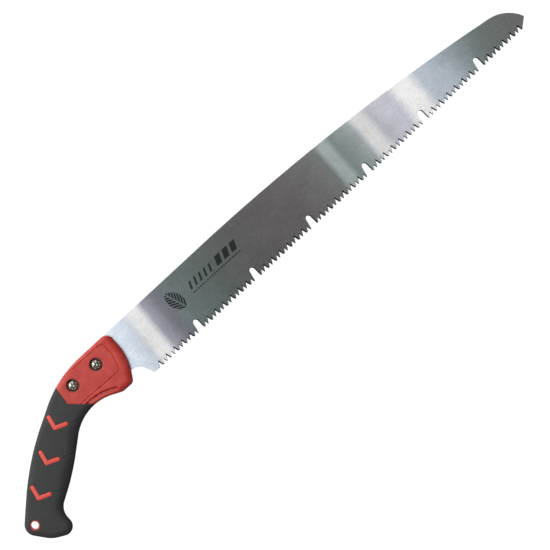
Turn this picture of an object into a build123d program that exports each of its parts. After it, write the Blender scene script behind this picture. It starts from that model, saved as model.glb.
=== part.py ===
from build123d import *
import math
import os

# A japanese pull saw: a toothed blade clamped by two screws in a pistol-grip handle.
# Millimetres. +X runs along the blade to its tip, +Z is up with the teeth facing down,
# and Y is the thickness. The screw heads face -Y. The origin is the hang hole's centre.

# Handle: thicknesses and edges
grip_thickness = 28.0
bolster_thickness = 26.0
handle_edge_radius = 6.0
rubber_thickness = 2.5

# Handle outline, seen from the side: (x, z) of each corner and the radius of its arc
bolster_front_x = 184.8
bolster_top_z = 95.4
handle_corners = [
    ((-14.2, 0.9), 11.5),  # butt, behind the hang hole
    ((38.3, 51.5), 281.0),  # back of the grip
    ((116.0, 94.5), 120.0),  # back of the grip into the top of the bolster
    ((bolster_front_x, bolster_top_z), 8.0),  # top front corner
    ((bolster_front_x, 62.2), 60.0),  # front edge
    ((170.5, 39.8), 5.0),  # toe, front
    ((156.8, 39.8), 12.0),  # toe, back
    ((118.4, 58.3), 50.0),  # forefinger rest
    ((64.1, 13.4), 250.0),  # swell under the fingers
    ((29.9, -7.1), 16.0),  # throat of the pommel hook
    ((29.9, -36.0), 9.5),  # pommel hook
    ((3.7, -21.9), 30.0),  # butt, lower
]

# Rubber edge: a V across the handle, from the back to the finger side
rubber_edge_top = (109.0, 87.0)
rubber_edge_apex = (106.7, 68.8)
rubber_edge_bottom = (125.4, 51.0)
zone_overrun = 3.0

# Red chevron ribs that show through windows in the rubber
chevron_count = 3
chevron_apex = (81.2, 59.0)
chevron_pitch = (-29.95, -20.7)
chevron_upper_arm = (2.6, 12.0)
chevron_lower_arm = (11.1, -4.5)
chevron_width = 3.8
chevron_proud = 0.3

# Finger grooves in the rubber, one off the end of each chevron's lower arm
groove_start = 1.55
groove_end = 2.9
groove_width = 1.0
groove_depth = 0.7

# Hang hole
hang_bore_radius = 4.0
hang_opening_radius = 5.4

# Shallow groove that frames the bolster's flat panel: (x, z) of its corners
panel_corners = [(96.0, 59.4), (169.0, 57.7), (174.3, 75.0), (174.3, 90.6), (96.0, 90.6)]
panel_corner_radius = 5.0
panel_groove_width = 2.0
panel_groove_depth = 0.5

# Clamp screws, washers and nuts
screw_points = [(154.9, 78.4), (123.4, 78.4)]
screw_names = ["front", "rear"]
screw_radius = 3.0
head_radius = 5.8
head_height = 4.0
head_rim = 2.0
head_sink = 0.8
recess_length = 6.4
recess_width = 1.3
recess_depth = 2.4
washer_radius = 6.2
washer_thickness = 1.6
nut_flats = 10.0
nut_height = 5.0
nut_sink = 1.2
counterbore_clearance = 0.6
hole_clearance = 0.2
nut_bore_clearance = 0.05
nut_pocket_clearance = 0.15
end_chamfer = 0.8

# Pegs that line up the two core halves: (x, z) of each
peg_points = [(37.0, 28.0), (67.0, 48.7), (160.0, 47.5)]
peg_radius = 2.5
peg_length = 4.0
peg_clearance = 0.1

# Blade
blade_thickness = 2.0
toothed_length = 501.0
heel_gap = 15.3
tooth_line_z = 32.4
tooth_line_radius = 18500.0
spine_root_z = 94.8
spine_rise = 1.5
spine_straight = 130.0
nose_start = 29.0
nose_height = 31.2
nose_bulge = (11.0, 14.2)
point_reach = 10.2
point_rise = 8.8
heel_top_z = 50.4
heel_corner = (186.4, 193.3)
heel_radii = (15.0, 2.5)
heel_corner_rise = 0.5

# Tang, inside the handle
tang_clearance = 0.2
tang_end_x = 111.5
tang_top_z = 90.0
tang_bottom_z = 66.0
tang_taper_x = 147.5
tang_corner_radius = 6.0
tang_taper_radii = (3.0, 12.0)
shoulder_x = 170.5
shoulder_radius = 2.0

# Teeth, in groups parted by deep gullets
tooth_pitch = 5.25
teeth_per_group = 14
first_gullet = 57.75
gullet_pitch = 77.4
gullet_to_tooth = 3.7
tooth_depth = 5.3
tooth_lean = 0.65
bevel_angle = 48.0
near_gap_skew = 0.4
far_gap_skew = 0.8
tip_land = 0.15
gullet_depth = 12.7
gullet_width = 6.6
gullet_skew = 0.6
cut_overrun = 1.5

# Places that follow from the sizes above
grip_half = grip_thickness / 2
bolster_half = bolster_thickness / 2
blade_half = blade_thickness / 2
reach = 10.0 * grip_thickness
heel_x = bolster_front_x + heel_gap
last_tooth_x = heel_x + toothed_length
washer_seat_y = -bolster_half + head_sink + head_height + washer_thickness
head_seat_y = washer_seat_y - washer_thickness
nut_outer_y = bolster_half - nut_sink
nut_seat_y = nut_outer_y - nut_height
bevel_rise = blade_half * math.tan(math.radians(bevel_angle))
tooth_height = tooth_depth + bevel_rise
tooth_slope = (tooth_pitch - tip_land) / (tooth_depth + 2 * bevel_rise * (1 - tooth_lean))


def slab(face, y_low, y_high):
    """A flat outline drawn in x and z, as a solid from y_low to y_high."""
    placed = Plane.XZ.offset(-y_low) * face
    return extrude(placed, amount=y_low - y_high)


def rod(point, radius, y_low, y_high):
    """A round bar along Y."""
    return slab(Pos(*point) * Circle(radius), y_low, y_high)


def polygon(points):
    """A face with straight sides."""
    return make_face(Polyline(*points, close=True))


def rounded_polygon(corners):
    """A face from (point, radius) corners."""
    points = [point for point, radius in corners]
    radii = [radius for point, radius in corners]
    return make_face(FilletPolyline(*points, radius=radii, close=True))


def bar(start, end, width):
    """A straight strip with round ends, centred on the line from start to end."""
    run = (end[0] - start[0], end[1] - start[1])
    middle = (start[0] + run[0] / 2, start[1] + run[1] / 2)
    turn = math.degrees(math.atan2(run[1], run[0]))
    return Pos(*middle) * Rot(0, 0, turn) * SlotCenterToCenter(math.hypot(*run), width)


def ahead(start, run, amount):
    """The point that lies amount times run beyond start."""
    return (start[0] + run[0] * amount, start[1] + run[1] * amount)


def handle_body(half_thickness, inset):
    """The handle's outer shape, or the same shape shrunk by inset on every side."""
    outline = rounded_polygon(handle_corners)
    if inset > 0:
        outline = offset(outline, amount=-inset)
    body = slab(outline, inset - half_thickness, half_thickness - inset)
    rims = body.edges().group_by(Axis.Y)
    return fillet(rims[0] + rims[-1], handle_edge_radius - inset)


# Handle zones: behind the V is rubber over the core, ahead of it the core is bare

top_run = (rubber_edge_top[0] - rubber_edge_apex[0], rubber_edge_top[1] - rubber_edge_apex[1])
bottom_run = (rubber_edge_bottom[0] - rubber_edge_apex[0], rubber_edge_bottom[1] - rubber_edge_apex[1])
rubber_zone = slab(
    polygon([
        rubber_edge_apex,
        ahead(rubber_edge_apex, top_run, zone_overrun),
        (-reach, reach),
        (-reach, -reach),
        ahead(rubber_edge_apex, bottom_run, zone_overrun),
    ]),
    -reach,
    reach,
)


def chevron(index):
    """One chevron's outline, and the points where its groove starts and ends."""
    apex = ahead(chevron_apex, chevron_pitch, index)
    upper = bar(apex, ahead(apex, chevron_upper_arm, 1), chevron_width)
    lower = bar(apex, ahead(apex, chevron_lower_arm, 1), chevron_width)
    start = ahead(apex, chevron_lower_arm, groove_start)
    end = ahead(apex, chevron_lower_arm, groove_end)
    return upper + lower, start, end


chevrons = [chevron(index) for index in range(chevron_count)]
grip_body = handle_body(grip_half, 0)
core_body = handle_body(grip_half, rubber_thickness)
rib_reach = grip_half + chevron_proud
ribs = [slab(outline, -rib_reach, rib_reach) for outline, start, end in chevrons]

# Grip sleeve: the rubber overmoulded on the core

sleeve = (grip_body & rubber_zone) - core_body - ribs
sleeve -= rod((0, 0), hang_opening_radius, -reach, reach)
skin = grip_body - handle_body(grip_half, groove_depth)
for outline, start, end in chevrons:
    sleeve -= skin & slab(bar(start, end, groove_width), -reach, reach)


# Blade outline

def tooth_line(x):
    """Height of the line through the tooth points, a very shallow arc from the heel."""
    run = x - heel_x
    return tooth_line_z + tooth_line_radius - math.sqrt(tooth_line_radius**2 - run**2)


def blade_outline():
    """The blade and its tang, before the teeth are cut."""
    spine_bend = (heel_x + spine_straight, spine_root_z + spine_rise)
    nose_x = last_tooth_x + point_reach - nose_start
    nose = (nose_x, tooth_line(nose_x) + nose_height)
    drop = spine_bend[1] - nose[1]
    spine_radius = ((nose[0] - spine_bend[0]) ** 2 + drop**2) / (2 * drop)
    half_run = (nose[0] - spine_bend[0]) / 2
    middle_drop = spine_radius - math.sqrt(spine_radius**2 - half_run**2)
    spine_middle = (spine_bend[0] + half_run, spine_bend[1] - middle_drop)
    last_tooth = (last_tooth_x, tooth_line(last_tooth_x))
    point = (last_tooth_x + point_reach, last_tooth[1] + point_rise)
    bulge = (point[0] - nose_bulge[0], point[1] + nose_bulge[1])
    heel = (heel_x, tooth_line_z)
    tooth_middle_x = heel_x + toothed_length / 2
    tooth_middle = (tooth_middle_x, tooth_line(tooth_middle_x))
    back = FilletPolyline(
        heel,
        (heel_corner[1], tooth_line_z + heel_corner_rise),
        (heel_corner[0], heel_top_z),
        (shoulder_x, heel_top_z),
        (tang_taper_x, tang_bottom_z),
        (tang_end_x, tang_bottom_z),
        (tang_end_x, tang_top_z),
        (shoulder_x, tang_top_z),
        (shoulder_x, spine_root_z),
        spine_bend,
        radius=[heel_radii[1], heel_radii[0], *tang_taper_radii, tang_corner_radius, tang_corner_radius, shoulder_radius, 0],
    )
    edges = [
        back,
        ThreePointArc(spine_bend, spine_middle, nose),
        ThreePointArc(nose, bulge, point),
        Line(point, last_tooth),
        ThreePointArc(last_tooth, tooth_middle, heel),
    ]
    return make_face(Wire(Curve(edges).edges()))


# Teeth

def slanted(face, run, rise):
    """An outline cut through the blade, moving by run in x and rise in z from face to face."""
    placed = Plane.XZ.offset(blade_thickness) * Pos(-run, -rise) * face
    return Solid.extrude(placed.face(), Vector(2 * run, 2 * blade_thickness, 2 * rise))


def tooth_gap(tip_x, side):
    """The V between the tooth at tip_x and the next one, deeper on the +Y face if side is 1."""
    root = (tip_x + tooth_lean * tooth_pitch, tooth_line(tip_x + tooth_pitch / 2) + tooth_height)
    left_run = (-tooth_lean * tooth_slope, -1)
    right_run = ((1 - tooth_lean) * tooth_slope, -1)
    length = 2 * tooth_height
    face = polygon([root, ahead(root, left_run, length), ahead(root, right_run, length)])
    skew = far_gap_skew if side > 0 else near_gap_skew
    return slanted(face, -2 * skew, 2 * side * bevel_rise)


def gullet(x):
    """The deep round-ended slot between two groups of teeth."""
    radius = gullet_width / 2
    top = (x, tooth_line(x) + gullet_depth - radius)
    left = (x - radius, top[1])
    right = (x + radius, top[1])
    left_run = (radius - tooth_pitch, radius - gullet_depth)
    right_run = (gullet_to_tooth - radius, radius - gullet_depth)
    slot = polygon([left, right, ahead(right, right_run, cut_overrun), ahead(left, left_run, cut_overrun)])
    return slanted(slot + Pos(*top) * Circle(radius), -2 * gullet_skew, 0)


def cutters():
    """Every gap and gullet. Neighbouring gaps slant opposite ways."""
    tools = []
    gullet_x = heel_x + first_gullet
    tips = []
    tip = gullet_x - tooth_pitch
    while tip > heel_x + tooth_pitch / 2:
        tips.append(tip)
        tip -= tooth_pitch
    for index, tip in enumerate(tips):
        side = 1 if index % 2 == 0 else -1
        tools.append(tooth_gap(tip - tooth_pitch, side))
    while gullet_x < last_tooth_x - tooth_pitch:
        tools.append(gullet(gullet_x))
        first_tip = gullet_x + gullet_to_tooth
        for index in range(teeth_per_group - 1):
            tip = first_tip + index * tooth_pitch
            if tip + tooth_pitch < last_tooth_x + tooth_pitch / 2:
                side = 1 if index % 2 == 0 else -1
                tools.append(tooth_gap(tip, side))
        gullet_x += gullet_pitch
    return tools


blade_face = blade_outline()
blade = slab(blade_face, -blade_half, blade_half)
for point in screw_points:
    blade -= rod(point, screw_radius + hole_clearance, -reach, reach)
blade = blade - cutters()

# Handle core: bare bolster ahead of the V, inset body and ribs behind it

core = (handle_body(bolster_half, 0) - rubber_zone) + (core_body & rubber_zone)
core += [rib & rubber_zone for rib in ribs]
core -= rod((0, 0), hang_bore_radius, -reach, reach)

panel = rounded_polygon([(corner, panel_corner_radius) for corner in panel_corners])
panel_band = offset(panel, amount=panel_groove_width / 2) - offset(panel, amount=-panel_groove_width / 2)
groove_floor = bolster_half - panel_groove_depth
for low, high in ((-reach, -groove_floor), (groove_floor, reach)):
    core -= slab(panel_band, low, high) - rubber_zone

mouth = polygon([
    (shoulder_x - tang_clearance, tang_top_z),
    (bolster_front_x + heel_gap, tang_top_z),
    (bolster_front_x + heel_gap, reach),
    (shoulder_x - tang_clearance, reach),
])
core -= slab(offset(blade_face, amount=tang_clearance), -blade_half, blade_half)
core -= slab(mouth, -blade_half, blade_half)

for point in screw_points:
    core -= rod(point, screw_radius + hole_clearance, -reach, reach)
    core -= rod(point, washer_radius + counterbore_clearance, -reach, washer_seat_y)
    pocket = RegularPolygon(nut_flats / 2 + nut_pocket_clearance, 6, major_radius=False)
    core -= slab(Pos(*point) * pocket, nut_seat_y, reach)

half_space = Rectangle(4 * reach, 4 * reach)
core_left = core & slab(half_space, -reach, 0)
core_right = core & slab(half_space, 0, reach)
for point in peg_points:
    core_left += rod(point, peg_radius, -peg_length, peg_length)
    core_right -= rod(point, peg_radius + peg_clearance, -reach / 2, peg_length + peg_clearance)


# Fasteners

def clamp_screw(point):
    """A pan head screw with a cross recess, its tip flush with the nut."""
    shank = rod(point, screw_radius, head_seat_y, nut_outer_y)
    shank = chamfer(shank.edges().sort_by(Axis.Y)[-1], end_chamfer)
    head = rod(point, head_radius, head_seat_y - head_height, head_seat_y)
    head = fillet(head.edges().sort_by(Axis.Y)[0], head_height - head_rim)
    recess_y = head_seat_y - head_height + recess_depth
    screw = shank + head
    for size in ((recess_length, recess_width), (recess_width, recess_length)):
        screw -= slab(Pos(*point) * Rectangle(*size), -reach, recess_y)
    return screw


def washer(point):
    """A flat washer between the screw head and the core."""
    ring = Circle(washer_radius) - Circle(screw_radius + hole_clearance)
    return slab(Pos(*point) * ring, head_seat_y, washer_seat_y)


def nut(point):
    """A hex nut in the core's pocket."""
    ring = RegularPolygon(nut_flats / 2, 6, major_radius=False)
    ring -= Circle(screw_radius + nut_bore_clearance)
    return slab(Pos(*point) * ring, nut_seat_y, nut_outer_y)


nodes = {
    "saw_blade": blade,
    "core_left": core_left,
    "core_right": core_right,
    "grip_sleeve": sleeve,
}
for name, point in zip(screw_names, screw_points):
    nodes[name + "_screw"] = clamp_screw(point)
    nodes[name + "_washer"] = washer(point)
    nodes[name + "_nut"] = nut(point)

os.makedirs("parts", exist_ok=True)
for name, shape in nodes.items():
    export_step(shape, "parts/" + name + ".step")
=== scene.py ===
import math

import bmesh
import bpy
import numpy as np
from mathutils import Matrix, Vector
from mathutils.geometry import delaunay_2d_cdt


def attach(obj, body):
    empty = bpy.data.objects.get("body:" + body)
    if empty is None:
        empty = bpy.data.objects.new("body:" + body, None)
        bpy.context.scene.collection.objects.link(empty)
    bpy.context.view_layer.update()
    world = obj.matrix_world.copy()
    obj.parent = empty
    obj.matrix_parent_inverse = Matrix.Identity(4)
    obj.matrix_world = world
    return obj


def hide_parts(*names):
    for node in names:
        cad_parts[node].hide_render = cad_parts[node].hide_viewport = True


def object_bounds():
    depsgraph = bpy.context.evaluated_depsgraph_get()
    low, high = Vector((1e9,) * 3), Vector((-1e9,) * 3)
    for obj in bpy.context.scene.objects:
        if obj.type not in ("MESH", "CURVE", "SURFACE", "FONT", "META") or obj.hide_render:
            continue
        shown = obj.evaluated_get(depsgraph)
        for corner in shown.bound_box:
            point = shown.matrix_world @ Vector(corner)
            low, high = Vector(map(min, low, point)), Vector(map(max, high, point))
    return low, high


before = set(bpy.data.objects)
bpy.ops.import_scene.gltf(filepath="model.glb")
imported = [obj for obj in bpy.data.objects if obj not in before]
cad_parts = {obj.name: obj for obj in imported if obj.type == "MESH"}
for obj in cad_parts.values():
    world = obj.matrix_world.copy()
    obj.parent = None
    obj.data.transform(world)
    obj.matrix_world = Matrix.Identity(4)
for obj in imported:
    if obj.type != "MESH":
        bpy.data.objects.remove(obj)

cad_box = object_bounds()
MM = 0.001

# ---------------------------------------------------------------- sizes, millimetres

GRIP_HALF = 14.0
BOLSTER_HALF = 13.0
RUBBER = 2.5
PARTING = 0.03
BLADE_HALF = 1.0
SCREWS = {"front": (154.9, 78.4), "rear": (123.4, 78.4)}
COUNTERBORE_RADIUS = 6.8
SHANK_HOLE_RADIUS = 3.2
WASHER_SEAT = 6.6
HEAD_SEAT = 8.2
NUT_SEAT = 6.8
NUT_OUTER = 11.8
POCKET_FLATS = 10.3
HANG_BORE = 4.0
HANG_OPENING = 5.4

# corners of the handle's outline (x, z) with the radius of each
HANDLE = [
    ((-14.2, 0.9), 11.5),
    ((38.3, 51.5), 281.0),
    ((116.0, 94.5), 120.0),
    ((184.8, 95.4), 8.0),
    ((184.8, 62.2), 60.0),
    ((170.5, 39.8), 5.0),
    ((156.8, 39.8), 12.0),
    ((118.4, 58.3), 50.0),
    ((64.1, 13.4), 250.0),
    ((29.9, -7.1), 16.0),
    ((29.9, -36.0), 9.5),
    ((3.7, -21.9), 30.0),
]
# how the edge is rounded near a place: (x, z), how far in the rounding runs, half height of the flank
EDGES = [
    ((-9.0, -3.0), 6.0, 7.0),
    ((10.0, 25.0), 4.5, 8.5),
    ((60.0, 64.0), 4.5, 8.5),
    ((105.0, 88.0), 4.5, 8.5),
    ((140.0, 95.0), 3.0, 9.8),
    ((174.0, 95.4), 4.0, 8.5),
    ((184.8, 76.0), 7.8, 5.5),
    ((180.0, 54.0), 7.8, 5.0),
    ((164.0, 39.8), 7.0, 6.0),
    ((148.0, 44.0), 2.6, 8.0),
    ((133.0, 49.5), 2.6, 8.0),
    ((118.0, 49.0), 8.5, 4.0),
    ((95.0, 38.0), 11.5, 2.5),
    ((60.0, 11.0), 11.5, 2.5),
    ((38.0, -4.0), 9.5, 3.5),
    ((30.0, -22.0), 7.5, 5.0),
    ((22.0, -37.0), 7.0, 6.0),
    ((3.0, -20.0), 6.0, 7.0),
]
RUBBER_EDGE = [(109.0, 87.0), (106.7, 68.8), (125.4, 51.0)]
PANEL = [((96.0, 59.4), 5), ((169.0, 57.7), 5), ((174.3, 75.0), 5), ((174.3, 90.6), 5), ((96.0, 90.6), 5)]
TANG = [(111.3, 90.2), (111.3, 65.8), (147.4, 65.8), (170.3, 50.2),
        (190.0, 50.2), (190.0, 99.0), (170.3, 99.0), (170.3, 90.2)]
CHEVRON_APEX = (81.2, 59.0)
CHEVRON_STEP = (-29.95, -20.7)
CHEVRON_ARMS = ((2.6, 12.0), (11.1, -4.5))
CHEVRON_HALF = 2.25
CREASE = (1.55, 2.9)
SCOOP_WIDTH = 7.4
SCOOP_DROP = 2.8
SCOOP_END = 155.6
CHEVRON_COUNT = 3
# half width and depth of each shallow line, reach and drop of each rounded edge
CREASE_LINE = (0.7, 0.6)
PANEL_LINE = (1.0, 0.65)
FRONT_LINE = (0.4, 0.2)
FRONT_DEPTHS = (2.4, 4.6, 6.8)
WINDOW_EDGE = (0.55, 0.4)
RIB_EDGE = (0.9, 0.6)
COUNTERBORE_EDGE = (0.4, 0.3)
# the ribs stand proud of the rubber, and the grip is crowned towards its middle
RIB_PROUD = 0.3
CROWN = 0.9
CROWN_REACH = 17
# room left between the skin and what lies under it
UNDER_SKIN = 0.02
# the mesh has one point in each cell this wide, none nearer than this to a fixed edge
CELL = 0.22
CROWDED = 0.09
# screw: head, shank and thread
SHANK_RADIUS = 2.97
HEAD_HEIGHT = 4.0
THREAD_PITCH = 1.0
THREAD_START = 1.4
THREAD_DEPTH = 0.45
SCREW_LOBES = 8


# ---------------------------------------------------------------- flat geometry

def resample(loop, step):
    """A closed loop with evenly spaced points."""
    ring = np.vstack([loop, loop[:1]])
    run = np.r_[0, np.cumsum(np.linalg.norm(np.diff(ring, axis=0), axis=1))]
    at = np.linspace(0, run[-1], max(8, int(round(run[-1] / step))), endpoint=False)
    return np.c_[np.interp(at, run, ring[:, 0]), np.interp(at, run, ring[:, 1])]


def round_corners(corners, step):
    """A closed outline whose corners are arcs."""
    points = []
    for i, (here, radius) in enumerate(corners):
        here = np.array(here, float)
        back = np.array(corners[i - 1][0]) - here
        ahead = np.array(corners[(i + 1) % len(corners)][0]) - here
        back /= np.linalg.norm(back)
        ahead /= np.linalg.norm(ahead)
        half = math.acos(float(back @ ahead)) / 2
        middle = (back + ahead) / np.linalg.norm(back + ahead)
        centre = here + middle * radius / math.sin(half)
        first = here + back * radius / math.tan(half) - centre
        last = here + ahead * radius / math.tan(half) - centre
        start = math.atan2(first[1], first[0])
        turn = (math.atan2(last[1], last[0]) - start + math.pi) % (2 * math.pi) - math.pi
        for a in np.linspace(start, start + turn, max(3, int(abs(turn) * radius / step))):
            points.append(centre + radius * np.array((math.cos(a), math.sin(a))))
    return resample(np.array(points), step)


def circle(centre, radius, count):
    turn = np.linspace(0, 2 * math.pi, count, endpoint=False)
    return np.c_[centre[0] + radius * np.cos(turn), centre[1] + radius * np.sin(turn)]


def hexagon(centre, flats):
    corners = circle(centre, flats / math.sqrt(3), 6) - np.array(centre)
    turned = np.c_[-corners[:, 1], corners[:, 0]] + np.array(centre)
    return resample(turned, flats / math.sqrt(3) / 4)


def chevron_outline(apex, first, second, half):
    """A V with a sharp apex and round ends, from its centre lines."""
    tips, sides = (apex + first, apex + second), []
    for arm in (first, second):
        unit = arm / np.linalg.norm(arm)
        sides.append((unit, np.array((-unit[1], unit[0]))))
    (along_1, left_1), (along_2, left_2) = sides
    middle = (along_1 + along_2) / np.linalg.norm(along_1 + along_2)
    spread = math.acos(float(along_1 @ along_2)) / 2
    corner = middle * half / math.sin(spread)
    turn = 1 if left_1 @ along_2 > 0 else -1
    inner_1, inner_2 = left_1 * turn, left_2 * -turn
    end_1, end_2 = tips[0] + along_1 * half, tips[1] + along_2 * half
    nearly = half * 0.98
    return round_corners([
        (apex + corner, 0.4),
        (end_1 + inner_1 * half, nearly), (end_1 - inner_1 * half, nearly),
        (apex - corner, half * 0.8),
        (end_2 - inner_2 * half, nearly), (end_2 + inner_2 * half, nearly),
    ], 0.55)


def outward(loop):
    """Unit normals of a closed loop, pointing out."""
    along = np.roll(loop, -1, 0) - np.roll(loop, 1, 0)
    along /= np.linalg.norm(along, axis=1)[:, None]
    x, z = loop.T
    area = np.sum(x * np.roll(z, -1) - np.roll(x, -1) * z)
    return np.c_[along[:, 1], -along[:, 0]] * np.sign(area)


def inside(points, loop):
    """Which points lie in a closed loop."""
    x, z = points[:, 0][:, None], points[:, 1][:, None]
    x0, z0 = loop[:, 0], loop[:, 1]
    x1, z1 = np.roll(x0, -1), np.roll(z0, -1)
    rise = np.where(z1 == z0, 1e-12, z1 - z0)
    hits = ((z0 > z) != (z1 > z)) & (x < (x1 - x0) * (z - z0) / rise + x0)
    return hits.sum(1) % 2 == 1


def gap(points, chain, closed=True):
    """Distance from each point to a chain of segments, and the nearest segment."""
    chain = np.array(chain, float)
    start = chain if closed else chain[:-1]
    run = (np.roll(chain, -1, 0) if closed else chain[1:]) - start
    length = np.maximum((run * run).sum(1), 1e-12)
    far, which = np.empty(len(points)), np.empty(len(points), int)
    for first in range(0, len(points), 1500):
        p = points[first:first + 1500, None, :] - start
        t = np.clip((p * run).sum(2) / length, 0, 1)
        d = np.linalg.norm(p - run * t[..., None], axis=2)
        which[first:first + 1500] = d.argmin(1)
        far[first:first + 1500] = d.min(1)
    return far, which


def ease(value, low, high):
    """0 below low, 1 above high and smooth between."""
    t = np.clip((value - low) / (high - low), 0, 1)
    return t * t * (3 - 2 * t)


def rounded(d, reach, drop):
    """How far a surface has fallen at distance d from its edge, as a quarter ellipse."""
    t = 1 - np.clip(d / reach, 0, 1)
    return drop * (1 - np.sqrt(np.clip(1 - t * t, 0, 1)))


def trough(d, half, depth):
    """How deep a round-bottomed line is at distance d from its middle."""
    return depth * np.clip(1 - (d / half) ** 2, 0, 1)


# ---------------------------------------------------------------- the handle's plan

outline = round_corners(HANDLE, 1.1)
normals = outward(outline)
places = np.array([place for place, reach, flank in EDGES])
pull = 1 / (np.linalg.norm(outline[:, None, :] - places, axis=2) + 1.0) ** 3
pull /= pull.sum(1)[:, None]
edge_reach = pull @ np.array([reach for place, reach, flank in EDGES])
edge_flank = pull @ np.array([flank for place, reach, flank in EDGES])

edge_start, apex, edge_end = (np.array(p) for p in RUBBER_EDGE)
edge_top = apex + (edge_start - apex) * 3
edge_bottom = apex + (edge_end - apex) * 3
behind_edge = np.array([apex, edge_top, (-300, 300), (-300, -300), edge_bottom])
edge_chain = np.vstack([
    np.linspace(edge_top, apex, 70),
    np.linspace(apex, edge_bottom, 90)[1:],
])

chevrons, creases = [], []
for index in range(CHEVRON_COUNT):
    tip = np.array(CHEVRON_APEX) + np.array(CHEVRON_STEP) * index
    upper, lower = (np.array(arm) for arm in CHEVRON_ARMS)
    chevrons.append(chevron_outline(tip, upper, lower, CHEVRON_HALF))
    creases.append(np.array([tip + lower * CREASE[0], tip + lower * CREASE[1]]))

panel = round_corners(PANEL, 1.0)
tang = resample(np.array(TANG), 1.2)
core_ring = outline - normals * RUBBER
opening = circle((0, 0), HANG_OPENING, 44)
bore = circle((0, 0), HANG_BORE, 36)
counterbores = [circle(p, COUNTERBORE_RADIUS, 52) for p in SCREWS.values()]
shank_holes = [circle(p, SHANK_HOLE_RADIUS, 32) for p in SCREWS.values()]
pockets = [hexagon(p, POCKET_FLATS) for p in SCREWS.values()]
loops = [outline, core_ring, opening, bore, tang, *chevrons, *counterbores, *shank_holes, *pockets]


def extra_points():
    """Points that give the surface its curvature: rings by each edge and a grid between."""
    rings = []
    for angle in (11, 22, 33, 44, 56):
        rings.append(outline - normals * (edge_reach * (1 - math.cos(math.radians(angle))))[:, None])
    for loop in [*chevrons, opening, *counterbores]:
        side = outward(loop)
        for offset in (0.12, 0.3, 0.55):
            rings += [loop + side * offset, loop - side * offset]
    side = outward(panel)
    for offset in (0.0, 0.35, 0.7, 1.0):
        rings += [panel + side * offset, panel - side * offset]
    for first, last in creases:
        along = np.linspace(first, last + (last - first) * 0.1, 30)
        across = np.array((-(last - first)[1], (last - first)[0])) / np.linalg.norm(last - first)
        for offset in (0.0, 0.25, 0.5, 0.7):
            rings += [along + across * offset, along - across * offset]
    lean = np.diff(edge_chain, axis=0, append=edge_chain[-1:] * 2 - edge_chain[-2:-1])
    across = np.c_[-lean[:, 1], lean[:, 0]] / np.linalg.norm(lean, axis=1)[:, None]
    for offset in (0.12, 0.3, 0.55):
        rings += [edge_chain + across * offset, edge_chain - across * offset]
    front = outline[:, 0] > 173
    for depth in FRONT_DEPTHS:
        for offset in (-FRONT_LINE[0], 0, FRONT_LINE[0]):
            rings.append((outline - normals * (depth + offset))[front])
    by_fingers = (outline[:, 0] > 118) & (outline[:, 0] < 160) & (outline[:, 1] < 60)
    for depth in (SCOOP_WIDTH - 0.3, SCOOP_WIDTH, SCOOP_WIDTH + 0.3, 4.5, 3.0):
        rings.append((outline - normals * depth)[by_fingers])
    for x in (SCOOP_END - 0.5, SCOOP_END - 0.2, SCOOP_END + 0.2, SCOOP_END + 0.5):
        rings.append(np.c_[np.full(20, x), np.linspace(39, 50, 20)])
    low, high = outline.min(0), outline.max(0)
    gx, gz = np.meshgrid(np.arange(low[0], high[0], 1.25), np.arange(low[1], high[1], 1.25))
    gx[1::2] += 0.6
    grid = np.c_[gx.ravel(), gz.ravel()]
    kept, cells = [], set()
    fixed = np.vstack([*loops, edge_chain])
    for point in np.vstack(rings + [grid]):
        key = (int(point[0] / CELL), int(point[1] / CELL))
        if key not in cells:
            cells.add(key)
            kept.append(point)
    kept = np.array(kept)
    kept = kept[inside(kept, outline)]
    clear, _ = gap(kept, outline)
    kept = kept[clear > 0.05]
    return thin(kept, fixed)


def thin(points, fixed):
    """Drops points that crowd the fixed ones."""
    buckets = {}
    for p in fixed:
        buckets.setdefault((int(p[0] // 1), int(p[1] // 1)), []).append(p)
    kept = []
    for p in points:
        cx, cz = int(p[0] // 1), int(p[1] // 1)
        crowd = [q for i in (-1, 0, 1) for j in (-1, 0, 1) for q in buckets.get((cx + i, cz + j), ())]
        if all((p[0] - q[0]) ** 2 + (p[1] - q[1]) ** 2 > CROWDED**2 for q in crowd):
            kept.append(p)
            buckets.setdefault((cx, cz), []).append(p)
    return np.array(kept)


def triangulate():
    """The plan's points and triangles, with every loop and the rubber edge kept as edges."""
    points, edges = [], []
    for loop in loops:
        base = len(points)
        points += list(loop)
        edges += [(base + k, base + (k + 1) % len(loop)) for k in range(len(loop))]
    base = len(points)
    points += list(edge_chain)
    edges += [(base + k, base + k + 1) for k in range(len(edge_chain) - 1)]
    points += list(extra_points())
    result = delaunay_2d_cdt([Vector(p) for p in points], edges, [], 0, 1e-5)
    flat = np.array([tuple(p) for p in result[0]])
    triangles = np.array([tuple(f) for f in result[2]])
    return flat, triangles


flat, triangles = triangulate()
middles = flat[triangles].mean(1)
in_handle = inside(middles, outline)
triangles, middles = triangles[in_handle], middles[in_handle]

in_rubber = inside(middles, behind_edge)
in_core = inside(middles, core_ring)
in_tang = inside(middles, tang)
in_opening = inside(middles, opening)
in_bore = inside(middles, bore)
in_chevron = np.any([inside(middles, loop) for loop in chevrons], axis=0) & in_rubber
in_counterbore = np.any([inside(middles, loop) for loop in counterbores], axis=0)
in_shank = np.any([inside(middles, loop) for loop in shank_holes], axis=0)
in_pocket = np.any([inside(middles, loop) for loop in pockets], axis=0)

# ---------------------------------------------------------------- heights over the plan

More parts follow.
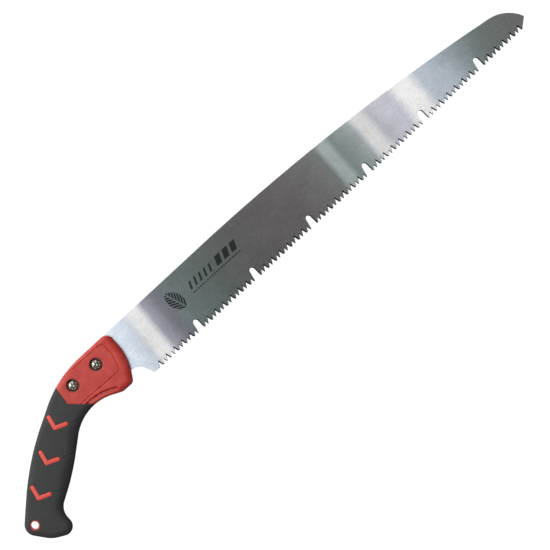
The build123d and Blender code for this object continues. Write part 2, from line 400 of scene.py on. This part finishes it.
edge_gap, nearest = gap(flat, outline)
reach, flank = edge_reach[nearest], edge_flank[nearest]
rubber_edge_gap, _ = gap(flat, edge_chain, False)
window_gap = np.min([gap(flat, loop)[0] for loop in [*chevrons, opening]] + [rubber_edge_gap], axis=0)
chevron_gap = np.min([gap(flat, loop)[0] for loop in chevrons], axis=0)
bore_gap = np.min([gap(flat, loop)[0] for loop in counterbores], axis=0)
crease_gap = np.min([gap(flat, chain, False)[0] for chain in creases], axis=0)
panel_gap, _ = gap(flat, panel)

crown = CROWN * (1 - ease(edge_gap, 0, CROWN_REACH))
grip_skin = GRIP_HALF - crown - rounded(edge_gap, reach, GRIP_HALF - crown - flank)
grip_top = grip_skin - rounded(window_gap, *WINDOW_EDGE) - trough(crease_gap, *CREASE_LINE)
rib_top = np.minimum(grip_skin, GRIP_HALF) + RIB_PROUD - rounded(chevron_gap, *RIB_EDGE)
core_top = np.maximum(grip_skin - RUBBER, 0.5)

bolster_top = BOLSTER_HALF - rounded(edge_gap, reach, BOLSTER_HALF - flank)
finger_side = (outline[:, 0] > 116) & (outline[:, 0] < 158) & (outline[:, 1] < 60)
finger_gap, _ = gap(flat, outline[finger_side], False)
scoop_run = np.clip(1 - finger_gap / SCOOP_WIDTH, 0, 1)
scoop = SCOOP_DROP * (ease(scoop_run, 0, 0.22) - 0.7 * scoop_run)
scoop *= 1 - ease(flat[:, 0], SCOOP_END - 0.4, SCOOP_END + 0.4)
bolster_top -= scoop
bolster_top -= trough(panel_gap, *PANEL_LINE)
front_side = outline[(outline[:, 0] > 172) & (outline[:, 1] > 44)]
front_gap, _ = gap(flat, front_side, False)
for depth in FRONT_DEPTHS:
    bolster_top -= trough(front_gap - depth, *FRONT_LINE) * (flat[:, 0] > 168)
bolster_top -= rounded(bore_gap, *COUNTERBORE_EDGE)
by_rubber_edge = rubber_edge_gap < 2
core_top[by_rubber_edge] = np.minimum(core_top, bolster_top - 0.05)[by_rubber_edge]

parting = np.full(len(flat), PARTING)
slot_wall = np.full(len(flat), BLADE_HALF + UNDER_SKIN)
washer_seat = np.full(len(flat), WASHER_SEAT)
nut_seat = np.full(len(flat), NUT_SEAT)


# ---------------------------------------------------------------- building meshes

def new_object(name, verts, faces, angle=35.0):
    """A mesh object in metres from millimetre points, smooth except at edges sharper than angle."""
    mesh = bpy.data.meshes.new(name)
    mesh.from_pydata([tuple(c * MM for c in v) for v in verts], [], faces)
    work = bmesh.new()
    work.from_mesh(mesh)
    bmesh.ops.remove_doubles(work, verts=work.verts, dist=2e-7)
    bmesh.ops.recalc_face_normals(work, faces=work.faces)
    limit = math.radians(angle)
    for face in work.faces:
        face.smooth = True
    for edge in work.edges:
        edge.smooth = len(edge.link_faces) == 2 and edge.calc_face_angle(0) < limit
    work.to_mesh(mesh)
    work.free()
    obj = bpy.data.objects.new(name, mesh)
    bpy.context.scene.collection.objects.link(obj)
    return obj


def terrace(name, zone_of, layers):
    """A closed solid over the plan. layers gives each zone's (low, high) height pairs."""
    index, verts, faces, columns = {}, [], [], {}

    def vertex(v, height):
        key = (v, round(float(height), 6))
        if key not in index:
            index[key] = len(verts)
            verts.append((flat[v, 0], float(height), flat[v, 1]))
            columns.setdefault(v, []).append(key[1])
        return index[key]

    def column(v, low, high):
        """The vertices at one place of the plan, from low to high."""
        low, high = round(float(low), 6), round(float(high), 6)
        return [index[v, height] for height in sorted(columns[v]) if low <= height <= high]

    sides, walls = {}, []
    for t, zone in zip(triangles, zone_of):
        a, b, c = (int(v) for v in t)
        for p, q in ((a, b), (b, c), (c, a)):
            sides.setdefault((min(p, q), max(p, q)), []).append(zone)
        for low, high in layers.get(zone, ()):
            faces.append([vertex(v, low[v]) for v in (a, b, c)])
            faces.append([vertex(v, high[v]) for v in (c, b, a)])
    for (p, q), zones in sides.items():
        one = layers.get(zones[0], ())
        two = layers.get(zones[1], ()) if len(zones) > 1 else ()
        if one is two:
            continue
        heights = {id(h): h for pair in (*one, *two) for h in pair}
        levels = sorted(heights.values(), key=lambda h: h[p] + h[q])
        for low, high in zip(levels, levels[1:]):
            middle = (low[p] + low[q] + high[p] + high[q]) / 4
            solid = [any(l[p] + l[q] < 2 * middle < h[p] + h[q] for l, h in side) for side in (one, two)]
            if solid[0] != solid[1]:
                for v in (p, q):
                    vertex(v, low[v]), vertex(v, high[v])
                walls.append((p, q, low, high))
    for p, q, low, high in walls:
        ring = column(q, low[q], high[q]) + column(p, low[p], high[p])[::-1]
        if len(ring) > 2:
            faces.append(ring)
    return new_object(name, verts, faces)


def core_half(name, side, in_seat, seat):
    """One half of the red core, on the side that Y has there."""
    layers = {
        "solid": [(parting, bolster_top)],
        "solid over tang": [(slot_wall, bolster_top)],
        "inner": [(parting, core_top)],
        "inner over tang": [(slot_wall, core_top)],
        "rib": [(parting, rib_top)],
        "seat": [(slot_wall, seat)],
    }
    zone_of = np.where(in_tang, "solid over tang", "solid").astype(object)
    zone_of[in_rubber] = np.where(in_tang, "inner over tang", "inner")[in_rubber]
    zone_of[in_rubber & ~in_core] = "none"
    zone_of[in_chevron] = "rib"
    zone_of[in_seat] = "seat"
    zone_of[in_shank | in_bore] = "none"
    signed = {
        zone: [tuple(sorted((side * low, side * high), key=np.mean)) for low, high in pairs]
        for zone, pairs in layers.items()
    }
    return terrace(name, zone_of, signed)


core_left = core_half("core_left_shell", -1, in_counterbore, washer_seat)
core_right = core_half("core_right_shell", 1, in_pocket, nut_seat)

inner = core_top + UNDER_SKIN
sleeve_zone = np.where(in_core, "skin", "rim").astype(object)
sleeve_zone[~in_rubber | in_chevron | in_opening] = "none"
sleeve = terrace("grip_sleeve_skin", sleeve_zone, {
    "skin": [(-grip_top, -inner), (inner, grip_top)],
    "rim": [(-grip_top, grip_top)],
})


def lathe(rows, count):
    """Verts and faces of a solid of revolution from rows of count points, closed at both ends."""
    verts = [p for row in rows for p in row]
    faces = []
    for r in range(len(rows) - 1):
        for k in range(count):
            n = (k + 1) % count
            faces.append((r * count + k, r * count + n, (r + 1) * count + n, (r + 1) * count + k))
    verts.append(tuple(np.mean(rows[0], axis=0)))
    faces += [(len(verts) - 1, (k + 1) % count, k) for k in range(count)]
    base = (len(rows) - 1) * count
    verts.append(tuple(np.mean(rows[-1], axis=0)))
    faces += [(base + k, base + (k + 1) % count, len(verts) - 1) for k in range(count)]
    return verts, faces


def screw(name, centre):
    """Pan head with a cross recess and eight raised lobes round it, and a threaded shank."""
    count = 96
    turn = np.linspace(0, 2 * math.pi, count, endpoint=False)
    lobes = np.clip(np.cos(SCREW_LOBES * turn), 0, 1)
    rows = []

    def row(radius, y):
        radius = np.broadcast_to(radius, count)
        y = np.broadcast_to(y, count)
        places = zip(centre[0] + radius * np.cos(turn), y, centre[1] + radius * np.sin(turn))
        rows.append(list(places))

    top = -HEAD_SEAT - HEAD_HEIGHT
    for radius in (0.25, 0.5, 0.8, 1.1, 1.4, 1.7, 2.0, 2.3, 2.6, 2.8, 3.0, 3.2, 3.4, 3.7, 4.0):
        x, z = radius * np.cos(turn), radius * np.sin(turn)
        across = np.minimum(np.abs(x), np.abs(z))
        half = 0.95 - 0.17 * radius
        wall = ease(across, half * 0.7, half * 1.15)
        deep = (1 - wall) * 2.6 * np.clip(1 - (radius / 3.25) ** 2, 0, 1) ** 0.6
        dome = 0.55 * (radius / 4.0) ** 2
        row(radius, top + dome + deep - 0.25 * ease(radius, 3.3, 4.0) * lobes)
    row(4.3, top + 0.7 - 0.35 * lobes)
    row(4.6, top + 0.9 - 0.45 * lobes)
    row(4.9, top + 1.15 - 0.45 * lobes)
    row(5.15, top + 1.5 - 0.3 * lobes)
    row(5.35, top + 1.95 - 0.1 * lobes)
    row(5.45, top + 2.4)
    row(5.45, -HEAD_SEAT - 0.5)
    row(5.6, -HEAD_SEAT - 0.3)
    row(5.6, -HEAD_SEAT)
    row(SHANK_RADIUS, -HEAD_SEAT)
    row(SHANK_RADIUS, THREAD_START - 0.4)
    for y in np.arange(THREAD_START, NUT_OUTER - 0.5, THREAD_PITCH / 8):
        wave = np.abs(((y / THREAD_PITCH - turn / (2 * math.pi)) % 1.0) * 2 - 1)
        fade_in = min(1.0, (y - THREAD_START) / THREAD_PITCH)
        row(SHANK_RADIUS - THREAD_DEPTH * wave * fade_in, y)
    row(2.3, NUT_OUTER - 0.3)
    row(1.9, NUT_OUTER)
    verts, faces = lathe(rows, count)
    return new_object(name, verts, faces, angle=40.0)


screw_objects = {}
for name, centre in SCREWS.items():
    screw_objects[name] = screw(name + "_screw_detail", centre)


# ---------------------------------------------------------------- materials

class Nodes:
    """Short ways to write a material's node tree."""

    def __init__(self, name):
        self.material = bpy.data.materials.new(name)
        self.material.use_nodes = True
        self.tree = self.material.node_tree
        self.shader = self.tree.nodes["Principled BSDF"]
        self.place = self.node("ShaderNodeTexCoord").outputs["Object"]

    def node(self, kind, **values):
        made = self.tree.nodes.new(kind)
        for key, value in values.items():
            setattr(made, key, value)
        return made

    def link(self, source, target):
        if isinstance(source, bpy.types.NodeSocket):
            self.tree.links.new(source, target)
        else:
            target.default_value = source

    def math(self, operation, *values, clamp=False):
        made = self.node("ShaderNodeMath", operation=operation, use_clamp=clamp)
        for socket, value in zip(made.inputs, values):
            self.link(value, socket)
        return made.outputs[0]

    def axes(self, source):
        made = self.node("ShaderNodeSeparateXYZ")
        self.link(source, made.inputs[0])
        return made.outputs

    def scaled(self, scale):
        made = self.node("ShaderNodeMapping")
        self.link(self.place, made.inputs["Vector"])
        made.inputs["Scale"].default_value = scale
        return made.outputs[0]

    def noise(self, scale, detail=3.0, rough=0.5, vector=None):
        made = self.node("ShaderNodeTexNoise")
        self.link(self.place if vector is None else vector, made.inputs["Vector"])
        made.inputs["Scale"].default_value = scale
        made.inputs["Detail"].default_value = detail
        made.inputs["Roughness"].default_value = rough
        return made.outputs["Fac"]

    def spread(self, value, low, high, to_low=0.0, to_high=1.0):
        made = self.node("ShaderNodeMapRange")
        self.link(value, made.inputs["Value"])
        limits = {"From Min": low, "From Max": high, "To Min": to_low, "To Max": to_high}
        for socket, number in limits.items():
            made.inputs[socket].default_value = number
        return made.outputs[0]

    def mix(self, factor, one, two, blend="MIX"):
        made = self.node("ShaderNodeMix", data_type="RGBA", blend_type=blend)
        self.link(factor, made.inputs["Factor"])
        self.link(one, made.inputs[6])
        self.link(two, made.inputs[7])
        return made.outputs[2]

    def ramp(self, factor, stops):
        made = self.node("ShaderNodeValToRGB")
        made.color_ramp.interpolation = "CARDINAL"
        elements = made.color_ramp.elements
        while len(elements) < len(stops):
            elements.new(0.5)
        for element, (place, colour) in zip(elements, sorted(stops)):
            element.position = place
            element.color = colour
        self.link(factor, made.inputs[0])
        return made.outputs[0]

    def bump(self, height, strength, distance_mm):
        made = self.node("ShaderNodeBump")
        made.inputs["Strength"].default_value = strength
        made.inputs["Distance"].default_value = distance_mm * MM
        self.link(height, made.inputs["Height"])
        self.tree.links.new(made.outputs[0], self.shader.inputs["Normal"])

    def set(self, **values):
        for key, value in values.items():
            self.link(value, self.shader.inputs[key.replace("_", " ").title().replace("Ior", "IOR")])


def linear(r, g, b):
    """A screen colour, 0 to 255 a channel, as the linear one that the renderer takes."""
    def one(c):
        c /= 255
        return c / 12.92 if c <= 0.04045 else ((c + 0.055) / 1.055) ** 2.4
    return (one(r), one(g), one(b), 1.0)


def rubber_material():
    n = Nodes("soft_rubber")
    blotch = n.noise(90, 4, 0.6)
    grain = n.noise(2600, 2, 0.7)
    base = n.mix(blotch, linear(44, 46, 45), linear(58, 60, 58))
    base = n.mix(n.math("MULTIPLY", grain, 0.25), base, linear(84, 86, 84))
    n.set(base_color=base, roughness=n.spread(grain, 0.3, 0.7, 0.62, 0.82), specular_ior_level=0.35)
    n.bump(n.math("ADD", grain, n.math("MULTIPLY", blotch, 0.4)), 0.35, 0.12)
    return n.material


def plastic_material():
    n = Nodes("red_plastic")
    blotch = n.noise(120, 3, 0.55)
    grain = n.noise(1800, 3, 0.7)
    base = n.mix(n.spread(blotch, 0.35, 0.65), linear(184, 44, 36), linear(198, 60, 50))
    # painted highlight: the core is painted a lighter red below x = 100 mm, where it shows as the raised
    # chevron ribs
    rib_painted_highlight = n.spread(n.axes(n.place)[0], 0.102, 0.098)
    base = n.mix(rib_painted_highlight, base, linear(222, 74, 64))
    n.set(base_color=base, roughness=n.spread(grain, 0.3, 0.7, 0.38, 0.55), specular_ior_level=0.5)
    n.bump(grain, 0.25, 0.06)
    return n.material


# base colour painted along the blade, (x, colour), and the light bands across it, (x, half width,
# colour); they stand for reflections, so they stay where they are in every view
BLADE_REFLECTION_TONES = [
    (190, (200, 210, 220)),
    (235, (130, 130, 140)),
    (260, (100, 110, 110)),
    (340, (90, 90, 90)),
    (445, (110, 110, 110)),
    (490, (140, 150, 150)),
    (540, (200, 200, 210)),
    (605, (190, 200, 210)),
    (650, (130, 140, 140)),
    (710, (120, 120, 120)),
]
BLADE_GLINTS = [
    (215, 12, (210, 210, 210)),
    (470, 10, (160, 170, 170)),
    (515, 12, (220, 220, 220)),
    (570, 18, (250, 250, 250)),
]


def blade_material():
    """Steel brushed along its length, with painted reflection tones and glints, painted shade on the
    bevels and edges, and the mark.
    """
    n = Nodes("brushed_blade_steel")
    axes = n.axes(n.place)
    wander = n.spread(n.noise(9, 2, 0.5), 0.3, 0.7, -0.0015, 0.0015)
    along = n.math("ADD", axes[0], wander)
    along = n.math("ADD", along, n.math("MULTIPLY", axes[2], -0.03))
    # painted reflections: the base colour runs through the reflection tones along the blade and lightens
    # to each painted glint band
    first, last = BLADE_REFLECTION_TONES[0][0], BLADE_REFLECTION_TONES[-1][0]
    stops = [((x - first) / (last - first), linear(*colour)) for x, colour in BLADE_REFLECTION_TONES]
    base = n.ramp(n.spread(along, first * MM, last * MM), stops)
    for x, half, colour in BLADE_GLINTS:
        off = n.math("ABSOLUTE", n.math("SUBTRACT", along, x * MM))
        base = n.mix(n.spread(off, half * MM, half * 0.4 * MM), base, linear(*colour))
    grain = n.noise(1.0, 3, 0.65, n.scaled((60, 60, 2600)))
    cloud = n.noise(38, 4, 0.6)
    speckle = n.noise(520, 2, 0.9)
    streak = n.math("ADD", n.math("MULTIPLY", grain, 0.35), n.math("MULTIPLY", cloud, 0.3))
    streak = n.math("ADD", streak, n.math("MULTIPLY", speckle, 0.35))
    shade = n.spread(streak, 0.36, 0.64, 0.80, 1.20)
    tone = n.node("ShaderNodeCombineColor")
    for socket in tone.inputs:
        n.link(shade, socket)
    base = n.mix(1.0, base, tone.outputs[0], "MULTIPLY")
    facing = n.axes(n.tree.nodes["Texture Coordinate"].outputs["Normal"])
    head_side = n.spread(facing[1], -0.2, -0.6)
    base = n.mix(n.math("MULTIPLY", emblem(n, axes), head_side), base, linear(34, 38, 37))
    # painted shade: faces that turn away from the blade's sides, the tooth bevels and the edges, are
    # painted near black
    bevel_painted_shade = n.spread(n.math("ABSOLUTE", facing[1]), 0.985, 0.93)
    base = n.mix(bevel_painted_shade, base, n.mix(grain, linear(14, 14, 13), linear(44, 44, 42)))
    n.set(base_color=base, metallic=1.0, roughness=n.spread(grain, 0.3, 0.7, 0.30, 0.42))
    n.bump(grain, 0.12, 0.03)
    return n.material


# the etched mark: middle and long axis of the leaf, middles and radius of the two discs that cut
# it out, then the bars as (start, end, pitch, filled share, low, high)
LEAF_MIDDLE = (257.5, 72.0)
LEAF_AXIS = (-0.342, 0.94)
LEAF_DISCS = ((249.6, 69.1), (265.4, 74.9))
LEAF_RADIUS = 15.9
THIN_BARS = (276.0, 309.0, 6.6, 0.36, 69.4, 77.6)
WIDE_BARS = (312.5, 342.5, 10.0, 0.68, 69.4, 79.0)
BAR_SLANT = 0.4
TICK_PITCH = 3.1


def emblem(n, axes):
    """Mask of the etched mark: a leaf, two groups of slanted bars and a row of ticks."""
    x = n.math("MULTIPLY", axes[0], 1000.0)
    z = n.math("MULTIPLY", axes[2], 1000.0)

    def within(value, centre, half, soft=0.25):
        off = n.math("ABSOLUTE", n.math("SUBTRACT", value, centre))
        return n.spread(off, half + soft, half - soft)

    def disc(cx, cz):
        dx = n.math("SUBTRACT", x, cx)
        dz = n.math("SUBTRACT", z, cz)
        far = n.math("SQRT", n.math("ADD", n.math("MULTIPLY", dx, dx), n.math("MULTIPLY", dz, dz)))
        return n.spread(far, LEAF_RADIUS + 0.25, LEAF_RADIUS - 0.25)

    lean, rise = LEAF_AXIS
    dx, dz = (n.math("SUBTRACT", value, middle) for value, middle in zip((x, z), LEAF_MIDDLE))
    up = n.math("ADD", n.math("MULTIPLY", dx, lean), n.math("MULTIPLY", dz, rise))
    off = n.math("ABSOLUTE", n.math("ADD", n.math("MULTIPLY", dx, rise), n.math("MULTIPLY", dz, -lean)))
    leaf = n.math("MULTIPLY", *(disc(*middle) for middle in LEAF_DISCS))
    veins = n.math("SINE", n.math("MULTIPLY", n.math("SUBTRACT", up, off), 1.7))
    cut = n.math("MAXIMUM", n.spread(veins, 0.55, 0.8), n.spread(off, 0.7, 0.4))
    mark = n.math("MULTIPLY", leaf, n.math("SUBTRACT", 1.0, cut))

    def bars(start, end, pitch, fill, low, high):
        middle = (low + high) / 2
        slant = n.math("SUBTRACT", x, n.math("MULTIPLY", n.math("SUBTRACT", z, middle), BAR_SLANT))
        place = n.math("FRACT", n.math("DIVIDE", n.math("SUBTRACT", slant, start), pitch))
        off_middle = n.math("ABSOLUTE", n.math("SUBTRACT", place, 0.5))
        stripe = n.spread(off_middle, fill / 2 + 0.03, fill / 2 - 0.03)
        span = within(slant, (start + end) / 2, (end - start) / 2)
        band = n.math("MULTIPLY", within(z, middle, (high - low) / 2), span)
        return n.math("MULTIPLY", stripe, band)

    tick = n.math("ABSOLUTE", n.math("SUBTRACT", n.math("FRACT", n.math("DIVIDE", x, TICK_PITCH)), 0.5))
    row = n.math("MULTIPLY", within(z, 65.8, 0.7), within(x, 308.0, 33.0))
    ticks = n.math("MULTIPLY", n.spread(tick, 0.33, 0.27), row)
    for part in (bars(*THIN_BARS), bars(*WIDE_BARS), ticks):
        mark = n.math("MAXIMUM", mark, part)
    near = n.math("MULTIPLY", within(x, 294.0, 55.0), within(z, 72.0, 18.0))
    return n.math("MULTIPLY", n.math("MULTIPLY", mark, near), 0.93)


def metal_material(name, dark, light, rough):
    n = Nodes(name)
    grain = n.noise(900, 3, 0.6)
    stain = n.noise(160, 3, 0.5)
    base = n.mix(stain, linear(*dark), linear(*light))
    n.set(base_color=base, metallic=1.0, roughness=n.spread(grain, 0.3, 0.7, rough, rough + 0.14))
    n.bump(grain, 0.15, 0.03)
    return n.material


def paint(obj, material):
    obj.data.materials.clear()
    obj.data.materials.append(material)
    return obj


rubber = rubber_material()
plastic = plastic_material()
screw_metal = metal_material("nickel_plate", (112, 110, 98), (168, 165, 152), 0.14)
# painted shade: washers and nuts get a darker metal than the screws, standing for the shade in their
# recesses
recess_shaded_metal = metal_material("metal_with_painted_recess_shade", (84, 82, 78), (122, 120, 114), 0.34)
paint(sleeve, rubber)
paint(core_left, plastic)
paint(core_right, plastic)
paint(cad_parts["saw_blade"], blade_material())
for name in SCREWS:
    paint(screw_objects[name], screw_metal)
    paint(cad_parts[name + "_washer"], recess_shaded_metal)
    paint(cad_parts[name + "_nut"], recess_shaded_metal)

for piece, node, slot, body in (
    (sleeve, "grip_sleeve", "grip_rubber", "handle"),
    (core_left, "core_left", "handle_red", "handle"),
    (core_right, "core_right", "handle_red", "handle"),
    (screw_objects["front"], "front_screw", "screw_steel", "front_screw"),
    (screw_objects["rear"], "rear_screw", "screw_steel", "rear_screw"),
):
    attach(piece, body)
    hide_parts(node)


# ---------------------------------------------------------------- floor, light, camera

WORLD_TILT = -0.85
BACKDROP = 1.05
FLOOR_DROP = 0.22
LIGHT_AIM = (0.30, 0.0, 0.04)
# name: place, width and height, power
SOFTBOXES = {
    "top_softbox": ((0.0, -0.7, 1.5), (1.6, 0.9), 9),
    "front_softbox": ((-0.4, -2.8, 1.0), (1.8, 1.0), 34),
    "back_softbox": ((0.3, 2.4, 1.1), (1.8, 1.0), 22),
}


def plain_world():
    """Soft studio light, dark below and pale above, with white where the camera sees it."""
    world = bpy.data.worlds.new("studio")
    bpy.context.scene.world = world
    world.use_nodes = True
    tree = world.node_tree
    tree.nodes.clear()
    place = tree.nodes.new("ShaderNodeTexCoord")
    split = tree.nodes.new("ShaderNodeSeparateXYZ")
    tree.links.new(place.outputs["Generated"], split.inputs[0])
    ramp = tree.nodes.new("ShaderNodeValToRGB")
    lift = tree.nodes.new("ShaderNodeMapRange")
    lift.inputs["From Min"].default_value = -1
    tilt = tree.nodes.new("ShaderNodeMath")
    tilt.operation = "MULTIPLY_ADD"
    tilt.inputs[1].default_value = WORLD_TILT
    tree.links.new(split.outputs[0], tilt.inputs[0])
    tree.links.new(split.outputs[2], tilt.inputs[2])
    tree.links.new(tilt.outputs[0], lift.inputs["Value"])
    tree.links.new(lift.outputs[0], ramp.inputs[0])
    elements = ramp.color_ramp.elements
    elements[0].position, elements[0].color = 0.25, (0.03, 0.03, 0.03, 1)
    elements[1].position, elements[1].color = 0.8, (0.9, 0.9, 0.9, 1)
    soft = tree.nodes.new("ShaderNodeBackground")
    soft.inputs["Strength"].default_value = 1.0
    tree.links.new(ramp.outputs[0], soft.inputs["Color"])
    white = tree.nodes.new("ShaderNodeBackground")
    white.inputs["Color"].default_value = (1, 1, 1, 1)
    white.inputs["Strength"].default_value = BACKDROP
    path = tree.nodes.new("ShaderNodeLightPath")
    mix = tree.nodes.new("ShaderNodeMixShader")
    tree.links.new(path.outputs["Is Camera Ray"], mix.inputs[0])
    tree.links.new(soft.outputs[0], mix.inputs[1])
    tree.links.new(white.outputs[0], mix.inputs[2])
    out = tree.nodes.new("ShaderNodeOutputWorld")
    tree.links.new(mix.outputs[0], out.inputs[0])


def plain_floor(height):
    """A pale floor that looks white to the camera and grey to the light it bounces."""
    mesh = bpy.data.meshes.new("floor")
    corners = [(-6, -6, height), (7, -6, height), (7, 6, height), (-6, 6, height)]
    mesh.from_pydata(corners, [], [(0, 1, 2, 3)])
    floor = bpy.data.objects.new("floor", mesh)
    bpy.context.scene.collection.objects.link(floor)
    n = Nodes("pale_floor")
    path = n.node("ShaderNodeLightPath").outputs["Is Camera Ray"]
    base = n.mix(path, linear(120, 120, 120), linear(250, 250, 250))
    n.set(base_color=base, roughness=0.9, specular_ior_level=0.0)
    glow = n.math("MULTIPLY", path, 0.35)
    n.shader.inputs["Emission Color"].default_value = (1, 1, 1, 1)
    n.link(glow, n.shader.inputs["Emission Strength"])
    mesh.materials.append(n.material)


def area_light(name, place, size, power):
    data = bpy.data.lights.new(name, "AREA")
    data.shape = "RECTANGLE"
    data.size, data.size_y = size
    data.energy = power
    light = bpy.data.objects.new(name, data)
    light.location = place
    light.rotation_euler = (Vector(LIGHT_AIM) - Vector(place)).to_track_quat("-Z", "Y").to_euler()
    bpy.context.scene.collection.objects.link(light)


plain_world()
plain_floor(cad_box[0].z - FLOOR_DROP)
for name, (place, size, power) in SOFTBOXES.items():
    area_light(name, place, size, power)

DISTANCE = 8.0
WIDTH = 0.5555
SENSOR = 36
ROLL = math.radians(42.3)
VIEW_CENTRE = (0.3492, 0.0237)
camera_data = bpy.data.cameras.new("camera")
camera_data.sensor_width = SENSOR
camera_data.lens = SENSOR * DISTANCE / WIDTH
camera_data.clip_end = 50
camera = bpy.data.objects.new("camera", camera_data)
bpy.context.scene.collection.objects.link(camera)
right = Vector((math.cos(ROLL), 0, -math.sin(ROLL)))
up = Vector((math.sin(ROLL), 0, math.cos(ROLL)))
turned = Matrix((right, up, Vector((0, -1, 0)))).transposed().to_4x4()
camera.matrix_world = Matrix.Translation((VIEW_CENTRE[0], -DISTANCE, VIEW_CENTRE[1])) @ turned
bpy.context.scene.camera = camera
bpy.context.scene.view_settings.view_transform = "Standard"
